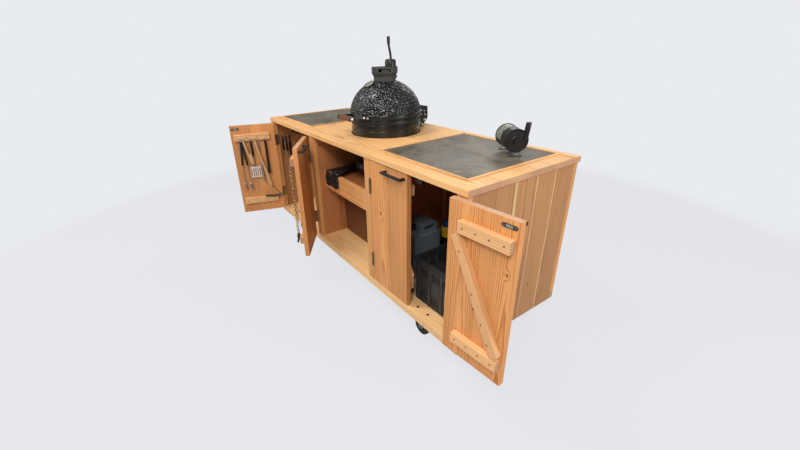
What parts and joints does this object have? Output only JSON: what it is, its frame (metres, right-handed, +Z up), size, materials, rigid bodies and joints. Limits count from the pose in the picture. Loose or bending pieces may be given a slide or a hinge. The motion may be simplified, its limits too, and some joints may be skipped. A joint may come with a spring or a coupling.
{
  "type": "outdoor kitchen",
  "caption": "Long timber outdoor kitchen on castors with plank doors, recessed stone-look tiles and a round ceramic kamado grill set through the worktop, with stored grilling gear.",
  "frame": {"origin": "on the ground under the middle of the worktop", "axes": "+X along the worktop to the right as seen from the doors, +Y to the back, +Z up"},
  "size_m": [2.4602, 1.0752, 1.4757],
  "materials": {
    "worktop_wood": "oiled softwood planks, honey yellow",
    "trim_wood": "oiled softwood, pale",
    "front_wood": "oiled softwood, warm orange-brown",
    "side_wood": "oiled softwood, light brown",
    "inner_wood": "oiled softwood, reddish brown",
    "door_wood": "oiled softwood with strong grain",
    "handle_wood": "dark stained hardwood",
    "tile": "mottled grey, satin",
    "black_steel": "matt black powder coat",
    "kamado_glaze": "dimpled black gloss glaze",
    "fire_clay": "unglazed refractory",
    "band_steel": "satin black",
    "cast_black": "black cast iron",
    "grate_steel": "stainless bars",
    "gasket_felt": "woven felt",
    "gauge_steel": "brushed bezel, plain dial",
    "zinc": "zinc plated",
    "hinge_steel": "dull plated steel",
    "plate_steel": "dark plated steel",
    "castor_rubber": "black rubber tyre on a black hub",
    "crate_plastic": "black, ribbed",
    "content_plastic": "black and dark red",
    "can_plastic": "translucent bluish white",
    "glove_leather": "black, slightly shiny",
    "fan_plastic": "black with a grey-green band",
    "tool_steel": "stainless with black and wooden grips"
  },
  "bodies": {
    "cabinet": {"worktop_planks": "worktop_wood", "worktop_tiles": "tile", "tile_trim": "trim_wood", "upright_battens": "front_wood", "side_planks": "side_wood", "divider_planks": "inner_wood", "back_wall_planks": "inner_wood", "deck_planks": "front_wood", "shelf_rails": "front_wood", "shelf_planks": "inner_wood", "niche_back_boards": "inner_wood", "magnetic_catches": "black_steel", "hinge_frame_halves": "hinge_steel", "castor_plates": "zinc", "castor_bolts": "plate_steel", "kamado_base": "kamado_glaze", "kamado_feet": "fire_clay", "firebox": "fire_clay", "grates": "grate_steel", "base_gasket": "gasket_felt", "lower_band": "band_steel", "draught_frame": "band_steel", "crate": "crate_plastic", "crate_contents": "content_plastic", "jerrycan": "can_plastic", "gloves": "glove_leather", "fan": "fan_plastic", "side_tools": "tool_steel"},
    "kamado_lid": {"kamado_dome": "kamado_glaze", "upper_band": "band_steel", "handle_bar": "handle_wood", "thermometer": "gauge_steel", "chimney_collar": "cast_black"},
    "vent_cap": {"vent_cap": "cast_black"},
    "draught_door": {"draught_door": "zinc"},
    "door_a": {"door_a_leaf": "door_wood", "door_a_handle": "black_steel", "door_a_hinges": "hinge_steel", "door_a_catch_plate": "plate_steel", "door_a_tools": "tool_steel"},
    "door_b": {"door_b_leaf": "door_wood", "door_b_handle": "black_steel", "door_b_hinges": "hinge_steel", "door_b_catch_plate": "plate_steel"},
    "door_d": {"door_d_leaf": "door_wood", "door_d_handle": "black_steel", "door_d_hinges": "hinge_steel", "door_d_catch_plate": "plate_steel"},
    "door_e": {"door_e_leaf": "door_wood", "door_e_handle": "black_steel", "door_e_hinges": "hinge_steel", "door_e_catch_plate": "plate_steel"},
    "castor_fork_fl": {"castor_fork_fl": "zinc"},
    "castor_wheel_fl": {"castor_wheel_fl": "castor_rubber"},
    "castor_fork_fr": {"castor_fork_fr": "zinc"},
    "castor_wheel_fr": {"castor_wheel_fr": "castor_rubber"},
    "castor_fork_bl": {"castor_fork_bl": "zinc"},
    "castor_wheel_bl": {"castor_wheel_bl": "castor_rubber"},
    "castor_fork_br": {"castor_fork_br": "zinc"},
    "castor_wheel_br": {"castor_wheel_br": "castor_rubber"}
  },
  "joints": [
    {"name": "door_a_hinge", "type": "hinge", "parent": "cabinet", "child": "door_a", "pos_m": [-1.0125, -0.376, 0.53], "axis": [0, 0, -1], "range_deg": [-108.5, 81.5]},
    {"name": "door_b_hinge", "type": "hinge", "parent": "cabinet", "child": "door_b", "pos_m": [-0.3485, -0.376, 0.53], "axis": [0, 0, 1], "range_deg": [-146, 44]},
    {"name": "door_d_hinge", "type": "hinge", "parent": "cabinet", "child": "door_d", "pos_m": [0.3975, -0.376, 0.53], "axis": [0, 0, -1], "range_deg": [0, 190]},
    {"name": "door_e_hinge", "type": "hinge", "parent": "cabinet", "child": "door_e", "pos_m": [1.0125, -0.376, 0.53], "axis": [0, 0, 1], "range_deg": [-183.7, 6.3]},
    {"name": "lid_hinge", "type": "hinge", "parent": "cabinet", "child": "kamado_lid", "pos_m": [-0.01, 0.288, 0.977], "axis": [-1, 0, 0], "range_deg": [0, 70]},
    {"name": "vent_turn", "type": "hinge", "parent": "kamado_lid", "child": "vent_cap", "pos_m": [-0.01, 0.019, 1.28], "axis": [0, 0, 1], "range_deg": [-48, 12]},
    {"name": "draught_slide", "type": "slide", "parent": "cabinet", "child": "draught_door", "axis": [1, 0, 0], "range_m": [0, 0.06]},
    {"name": "castor_swivel_fl", "type": "hinge", "parent": "cabinet", "child": "castor_fork_fl", "pos_m": [-0.784, -0.297, 0.115], "axis": [0, 0, 1], "continuous": true},
    {"name": "castor_roll_fl", "type": "hinge", "parent": "castor_fork_fl", "child": "castor_wheel_fl", "pos_m": [-0.812, -0.297, 0.05], "axis": [0, 1, 0], "continuous": true},
    {"name": "castor_swivel_fr", "type": "hinge", "parent": "cabinet", "child": "castor_fork_fr", "pos_m": [0.784, -0.297, 0.115], "axis": [0, 0, 1], "continuous": true},
    {"name": "castor_roll_fr", "type": "hinge", "parent": "castor_fork_fr", "child": "castor_wheel_fr", "pos_m": [0.756, -0.297, 0.05], "axis": [0, 1, 0], "continuous": true},
    {"name": "castor_swivel_bl", "type": "hinge", "parent": "cabinet", "child": "castor_fork_bl", "pos_m": [-0.784, 0.292, 0.115], "axis": [0, 0, 1], "continuous": true},
    {"name": "castor_roll_bl", "type": "hinge", "parent": "castor_fork_bl", "child": "castor_wheel_bl", "pos_m": [-0.812, 0.292, 0.05], "axis": [0, 1, 0], "continuous": true},
    {"name": "castor_swivel_br", "type": "hinge", "parent": "cabinet", "child": "castor_fork_br", "pos_m": [0.784, 0.292, 0.115], "axis": [0, 0, 1], "continuous": true},
    {"name": "castor_roll_br", "type": "hinge", "parent": "castor_fork_br", "child": "castor_wheel_br", "pos_m": [0.756, 0.292, 0.05], "axis": [0, 1, 0], "continuous": true}
  ]
}
